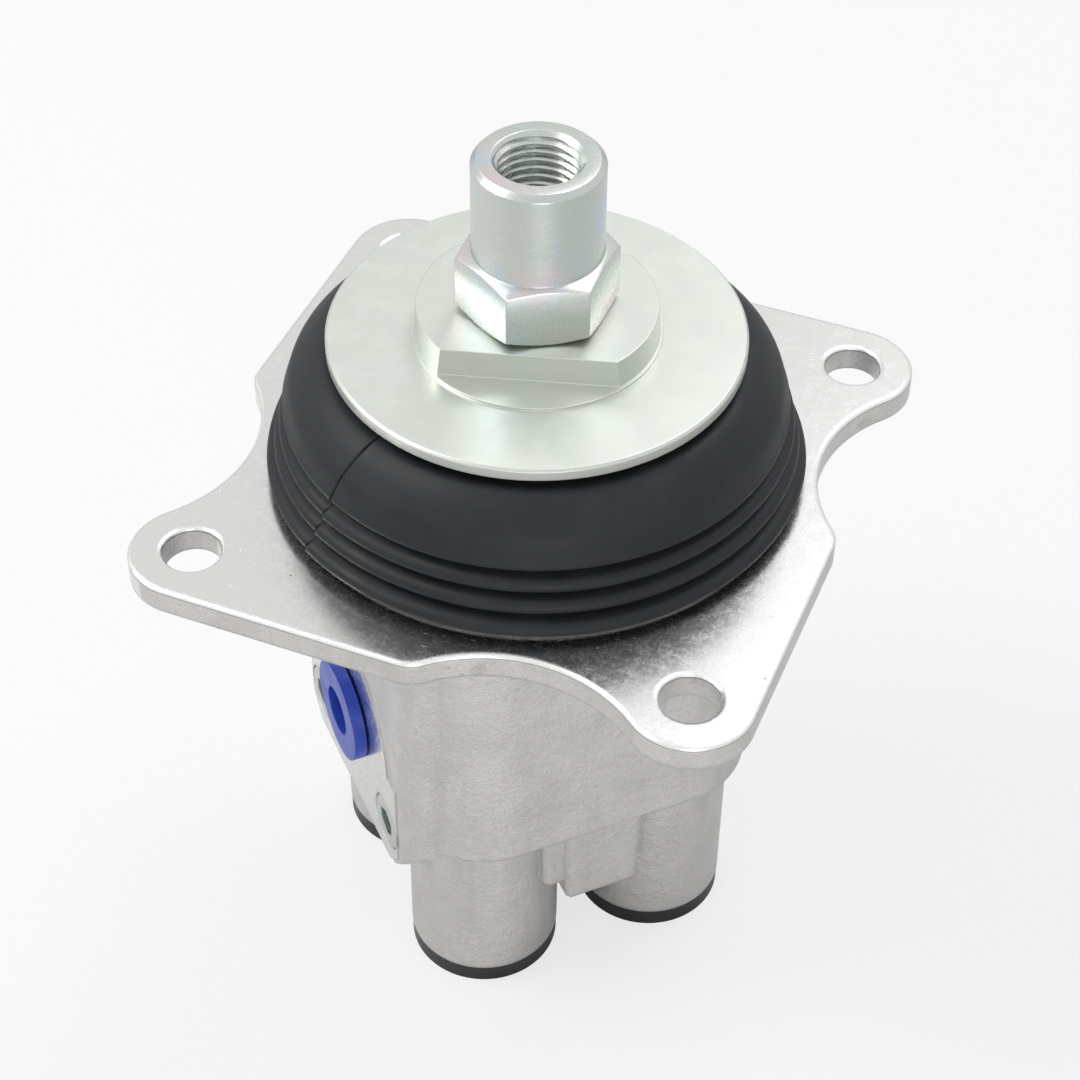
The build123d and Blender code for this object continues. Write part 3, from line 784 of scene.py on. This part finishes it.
@dataclass
class LeverNut:
    """The connecting nut: a hexagon with trimmed corners, a sleeve and a real thread.

    Args:
        zinc: The nut's finish.
        flats: Width across the hexagon's flats in mm.
        low: Height of its underside in mm.
        shoulder: Height of the hexagon's top in mm.
        top: Height of the sleeve's top in mm.
        sleeve: Sleeve radius in mm.
        minor: Thread's crest radius in mm.
        major: Thread's root radius in mm.
        pitch: Thread's pitch in mm.
        floor: Height of the thread's lower end in mm.
        seat: Radius of the bore round the stud in mm.
        trim: Height of the cones that trim the hexagon's corners in mm.
        chamfer: Chamfer on the sleeve's top edge in mm.
        columns: Number of columns round the nut.
    """

    zinc: bpy.types.Material
    flats: float = 22.8
    low: float = 32.5
    shoulder: float = 43.4
    top: float = 60.2
    sleeve: float = 10.5
    minor: float = 6.2
    major: float = 7.05
    pitch: float = 1.5
    floor: float = 42.0
    seat: float = 5.95
    trim: float = 1.2
    chamfer: float = 1.0
    columns: int = 192

    def hexagon(self, turn: float) -> float:
        """Give the hexagon's radius in mm at an angle in radians."""
        sector = math.radians(60)
        return self.flats / 2 / math.cos((turn + sector / 2) % sector - sector / 2)

    def outside(self, turn: float) -> Outline:
        """Give the outside's outline at an angle, from the underside to the bore's mouth.

        Args:
            turn: The angle in radians.

        Returns:
            Points of (radius, height) in mm.
        """
        corner = self.flats / 2 / math.cos(math.radians(30))
        radius = self.hexagon(turn)
        inside_corner = corner - radius
        foot = self.low + max(self.trim - inside_corner / 2, 0.12)
        brow = self.shoulder - self.trim + inside_corner * self.trim / (corner - self.sleeve)
        lip = self.top - self.chamfer
        rounded = 0.12
        return [
            (corner - 2 * self.trim - 0.4, self.low), (min(corner - 2 * self.trim, radius - 0.3), self.low),
            (radius - 0.06, foot - 0.03), (radius, foot + 0.09),
            (radius, brow - 0.14), (radius - 0.08, brow + 0.02),
            (radius - 0.3, brow + 0.3 * self.trim / (corner - self.sleeve) + 0.02),
            (self.sleeve + 0.25, self.shoulder - 0.03), (self.sleeve + 0.06, self.shoulder + 0.02),
            (self.sleeve, self.shoulder + 0.25), (self.sleeve, lip - rounded),
            (self.sleeve - 0.04, lip + 0.05), (self.sleeve - self.chamfer + 0.07, self.top - 0.05),
            (self.sleeve - self.chamfer - 0.12, self.top),
        ]

    def thread(self, turn: float, height: float) -> float:
        """Give the bore's radius in mm on the thread.

        Args:
            turn: Angle in radians.
            height: Height in mm.

        Returns:
            The radius, between the crest and the root.
        """
        phase = (height / self.pitch - turn / (2 * math.pi)) % 1.0
        wave = min(max((abs(phase - 0.5) * 2 - 0.12) / 0.76, 0.0), 1.0)
        runout = smooth_share(height, self.floor, self.floor + 1.5)
        depth = (self.major - self.minor) * wave * runout
        mouth = self.minor + (height - (self.top - 1.1)) if height > self.top - 1.1 else 0.0
        return max(self.minor + depth, mouth)

    def build(self) -> bpy.types.Object:
        """Make the nut, ride it on the lever and hide the plain solid.

        Returns:
            The piece.
        """
        turns = [2 * math.pi * column / self.columns for column in range(self.columns)]
        outlines = [self.outside(turn) for turn in turns]
        rows = [[outline[row] for outline in outlines] for row in range(len(outlines[0]))]
        per_pitch = 10
        count = round((self.top - self.floor) / self.pitch * per_pitch)
        heights = [self.top - (self.top - self.floor) * step / count for step in range(count + 1)]
        rows += [[(self.thread(turn, height), height) for turn in turns] for height in heights]
        rows += [[(self.seat, self.floor)] * self.columns, [(self.seat, self.low)] * self.columns]
        points = [
            Vector((radius * math.cos(turn), radius * math.sin(turn), height)) * MM
            for row in rows for turn, (radius, height) in zip(turns, row)]
        faces = grid_faces(len(rows), self.columns, Closure.LOOP)
        nut = new_piece("lever_nut_threaded", points, faces, self.zinc, 28.0)
        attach(nut, "lever")
        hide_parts("lever_nut")
        return nut


@dataclass
class Spring:
    """A coil spring of one pilot stage.

    Args:
        wire_finish: The spring's finish.
        name: Name of the node that it stands for, without the stage's number.
        outer: Outside diameter in mm.
        wire: Wire diameter in mm.
        turns: Number of turns.
        low: Height of its lower end in mm.
        high: Height of its upper end in mm.
        low_share: Share of the piston's travel that its lower end makes.
        station: Radius in mm on which the stages stand.
        gap: Air at each end in mm.
        sides: Number of sides round the wire.
        steps: Number of steps in one turn.
    """

    wire_finish: bpy.types.Material
    name: str
    outer: float
    wire: float
    turns: int
    low: float
    high: float
    low_share: float = 0.0
    station: float = 23.66
    gap: float = 0.06
    sides: int = 10
    steps: int = 32

    def start(self) -> float:
        """Give the height in mm at which the motion would be nothing, so that low makes its share of it."""
        share = 0.5 - math.sin(math.asin(1 - 2 * self.low_share) / 3)
        return (self.low - share * self.high) / (1 - share)

    def points(self, stage: int) -> list[Vector]:
        """Wind the wire of one stage, ring by ring along it, in metres."""
        angle = math.radians(90 * (stage - 1))
        centre = Vector((self.station * math.cos(angle), self.station * math.sin(angle), 0.0))
        radius = (self.outer - self.wire) / 2
        rise = self.high - self.low - self.wire - 2 * self.gap
        count = self.turns * self.steps
        points = []
        for step in range(count + 1):
            turn = 2 * math.pi * step / self.steps
            out = Vector((math.cos(turn), math.sin(turn), 0.0))
            middle = centre + out * radius
            middle.z = self.low + self.wire / 2 + self.gap + rise * step / count
            for side in range(self.sides):
                around = 2 * math.pi * side / self.sides
                offset = out * math.cos(around) + Vector((0.0, 0.0, math.sin(around)))
                points.append((middle + offset * self.wire / 2) * MM)
        return points

    def build(self) -> list[bpy.types.Object]:
        """Make the four springs between the housing and the pistons, and hide the plain solids.

        Returns:
            The springs.
        """
        rings = self.turns * self.steps + 1
        faces: list[Sequence[int]] = list(grid_faces(rings, self.sides, Closure.OPEN))
        faces += [tuple(range(self.sides)), tuple(range((rings - 1) * self.sides, rings * self.sides))]
        made = []
        for stage in range(1, 5):
            spring = new_piece(f"{self.name}_coil_{stage}", self.points(stage), faces, self.wire_finish, 50.0)
            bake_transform(spring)
            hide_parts(f"{self.name}_{stage}")
            made.append(spring)
        return made


@dataclass
class CadPieces:
    """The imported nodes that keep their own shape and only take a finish.

    Args:
        finishes: A finish for each group of node names; a name ending in _ stands for its four copies.
    """

    finishes: list[tuple[bpy.types.Material, tuple[str, ...]]] = field(default_factory=list)

    def names(self, listed: Iterable[str]) -> list[str]:
        """Write out the four copies of the names that end in an underscore."""
        return [f"{name}{number}" if name.endswith("_") else name
                for name in listed for number in (range(1, 5) if name.endswith("_") else (0,))]

    def dress(self) -> int:
        """Give each node its finish.

        Returns:
            The number of nodes dressed.
        """
        dressed = 0
        for material, listed in self.finishes:
            for name in self.names(listed):
                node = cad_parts[name]
                node.data.materials.clear()
                node.data.materials.append(material)
                dressed += 1
        return dressed


# ---------------------------------------------------------------- studio


@dataclass
class Studio:
    """A plain pale floor, soft lamps and the camera.

    Args:
        lens: The camera's focal length in mm on a 36 mm sensor.
        azimuth: The camera's direction round the valve in degrees, 0 looking along +Y.
        elevation: The camera's height above the horizon in degrees.
        roll: The camera's roll in degrees.
        distance: From the aim to the camera in mm.
        aim: The point that the camera looks at, in mm.
        floor: Height of the floor in mm.
        room: Brightness of the room as light.
        shine: Brightness of the room in reflections.
    """

    lens: float = 84.23
    azimuth: float = 21.44
    elevation: float = 43.90
    roll: float = 0.71
    distance: float = 437.8
    aim: tuple[float, float, float] = (0.83, 0.33, -20.1)
    floor: float = -98.8
    room: float = 0.45
    shine: float = 0.86

    def camera(self) -> None:
        """Make the camera and set it as the scene's."""
        across, up = math.radians(self.azimuth), math.radians(self.elevation)
        back = Vector((math.sin(across) * math.cos(up), -math.cos(across) * math.cos(up), math.sin(up)))
        data = bpy.data.cameras.new("camera")
        data.lens, data.sensor_width = self.lens, 36.0
        data.clip_start, data.clip_end = 0.01, 20.0
        camera = bpy.data.objects.new("camera", data)
        roll = Matrix.Rotation(math.radians(self.roll), 3, "Z")
        turned = (-back).to_track_quat("-Z", "Y").to_matrix() @ roll
        place = Matrix.Translation((Vector(self.aim) + back * self.distance) * MM)
        camera.matrix_world = place @ turned.to_4x4()
        bpy.context.scene.collection.objects.link(camera)
        bpy.context.scene.camera = camera

    def lamp(self, name: str, place: Sequence[float], size: float, power: float, colour: Colour) -> None:
        """Add a soft square lamp aimed at the valve.

        Args:
            name: The lamp's name.
            place: Its place in metres.
            size: Its side in metres.
            power: Its power in watts.
            colour: Its colour.
        """
        data = bpy.data.lights.new(name, "AREA")
        data.shape, data.size, data.energy, data.color = "SQUARE", size, power, colour
        lamp = bpy.data.objects.new(name, data)
        lamp.visible_camera = False
        towards = Vector((0, 0, -0.02)) - Vector(place)
        lamp.matrix_world = Matrix.Translation(place) @ towards.to_track_quat("-Z", "Y").to_matrix().to_4x4()
        bpy.context.scene.collection.objects.link(lamp)

    def lamps(self) -> None:
        """Hang the soft lamps."""
        self.lamp("lamp_key", (-0.60, -0.20, 0.70), 0.45, 4.2, (1.0, 0.99, 0.97))
        self.lamp("lamp_top", (0.15, 0.50, 0.85), 0.5, 2.8, (0.97, 0.98, 1.0))
        self.lamp("lamp_front", (0.45, -0.85, 0.10), 0.4, 1.6, (1.0, 1.0, 1.0))

    def world(self) -> None:
        """Fill the room with an even light, white to the camera."""
        world = bpy.data.worlds.new("room")
        bpy.context.scene.world = world
        world.use_nodes = True
        tree = world.node_tree
        tree.nodes.clear()
        path = tree.nodes.new("ShaderNodeLightPath")
        mirrored = tree.nodes.new("ShaderNodeMapRange")
        mirrored.inputs["To Min"].default_value = self.room
        mirrored.inputs["To Max"].default_value = self.shine
        tree.links.new(path.outputs["Is Glossy Ray"], mirrored.inputs["Value"])
        strength = tree.nodes.new("ShaderNodeMath")
        strength.operation = "MAXIMUM"
        tree.links.new(mirrored.outputs[0], strength.inputs[0])
        tree.links.new(path.outputs["Is Camera Ray"], strength.inputs[1])
        background = tree.nodes.new("ShaderNodeBackground")
        background.inputs["Color"].default_value = (1.0, 1.0, 1.0, 1.0)
        tree.links.new(strength.outputs[0], background.inputs["Strength"])
        output = tree.nodes.new("ShaderNodeOutputWorld")
        tree.links.new(background.outputs[0], output.inputs["Surface"])

    def ground(self) -> None:
        """Lay the pale floor, which keeps the valve's shadow."""
        sheet = Sheet("pale_floor")
        path = sheet.node("ShaderNodeLightPath")
        seen = Value(sheet, path.outputs["Is Camera Ray"])
        sheet.set(Base_Color=(0.86, 0.86, 0.86), Roughness=0.7, Specular_IOR_Level=0.1)
        glow = sheet.node("ShaderNodeEmission", sockets={"Color": (1.0, 1.0, 1.0), "Strength": 1.0})
        blend = sheet.node("ShaderNodeMixShader", sockets={
            0: seen * 0.72, 1: sheet.shader.outputs[0], 2: glow.outputs[0]})
        sheet.feed(sheet.output.inputs["Surface"], blend.outputs[0])
        size = 4.0
        around = ((-size, -size), (size, -size), (size, size), (-size, size))
        corners = [Vector((x, y, self.floor * MM)) for x, y in around]
        floor = new_piece("pale_floor", corners, [(0, 1, 2, 3)], sheet.material)

    def build(self) -> None:
        """Set up the floor, the lamps, the room and the camera."""
        self.ground()
        self.lamps()
        self.world()
        self.camera()
        bpy.context.scene.view_settings.view_transform = "Standard"


def main() -> None:
    """Dress the valve and set up its studio."""
    logging.basicConfig(level=logging.INFO, format="%(name)s: %(message)s")
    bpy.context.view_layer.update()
    disc_finish = ZincPlate("zinc_disc", (0.66, 0.69, 0.64), tint=0.06, roughness=0.36)
    steel = BareSteel("ground_steel").dress()
    rubber = MouldedRubber("boot_rubber")
    blue = MouldedPlastic("blue_plug", (0.012, 0.05, 0.42), (0.05, 0.12, 0.6), 0.3, 0.25).dress()
    black = MouldedPlastic("black_cap", (0.012, 0.012, 0.014), (0.04, 0.04, 0.045), 0.32).dress()
    body_finish = CastAluminium(pads=((225.0, 35.2), (45.0, 35.2))).dress()
    count = CadPieces([
        (body_finish, ("valve_body",)),
        (disc_finish.dress(), ("press_disc",)),
        (ZincPlate("zinc_plugs", tint=0.25, roughness=0.3).dress(),
         ("gallery_plug_left", "gallery_plug_right")),
        (black, ("port_cap_",)),
        (blue, ("inlet_plug", "return_plug")),
        (steel, ("retainer_plate", "joint_base", "joint_cross", "joint_stud", "piston_", "piston_guide_",
                 "spring_seat_", "spring_shims", "stoppers", "spool_")),
        (MouldedRubber("seal_rubber", dust=0.02).dress(), ("guide_orings", "piston_seals")),
        (WovenBrass().dress(), ("inlet_strainer",)),
    ]).dress()
    log.info("%d nodes dressed", count)
    for piece in Boot(rubber.dress()).build():
        log.info("%s has %d faces", piece.name, len(piece.data.polygons))
    wire = BareSteel("spring_wire", (0.3, 0.3, 0.32), (0.12, 0.12, 0.13), (1.5, 1.5, 1.5), 0.35).dress()
    springs = Spring(wire, "centring_spring", outer=15.2, wire=1.7, turns=5, low=-51.0, high=-27.0).build()
    springs += Spring(wire, "metering_spring", outer=8.6, wire=1.1, turns=5, low=-42.4, high=-27.0,
                      low_share=SPOOL_TRAVEL / PISTON_TRAVEL).build()
    log.info("%d springs wound", len(springs))
    nut = LeverNut(ZincPlate("zinc_nut", tint=0.55).dress()).build()
    log.info("%s has %d faces", nut.name, len(nut.data.polygons))
    Studio().build()


if __name__ == "__main__":
    main()
